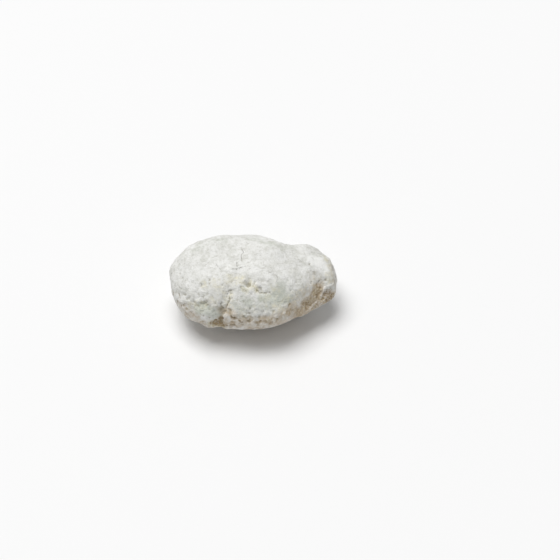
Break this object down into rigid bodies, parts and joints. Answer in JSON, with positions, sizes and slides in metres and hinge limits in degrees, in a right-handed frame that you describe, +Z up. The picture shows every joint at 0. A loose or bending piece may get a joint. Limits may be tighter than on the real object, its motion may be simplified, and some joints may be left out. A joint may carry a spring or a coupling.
{
  "type": "calcite geode",
  "caption": "Whole, unopened geode: an elongated, potato-shaped stone with a pale, chalky, pitted crust, a cleft down its front and a small flat spot to rest on.",
  "frame": {"origin": "on the ground plane, at the centre of the stone's bounding box seen from above", "axes": "+X along the stone towards its narrower end, -Y its front with the cleft, +Z up from the resting spot"},
  "size_m": [0.065, 0.042, 0.031],
  "materials": {
    "crust": "dry, chalky off-white crust, matt and finely rough, with tan and ochre stains in its hollows"
  },
  "bodies": {
    "root": {"geode": "crust"}
  },
  "joints": []
}
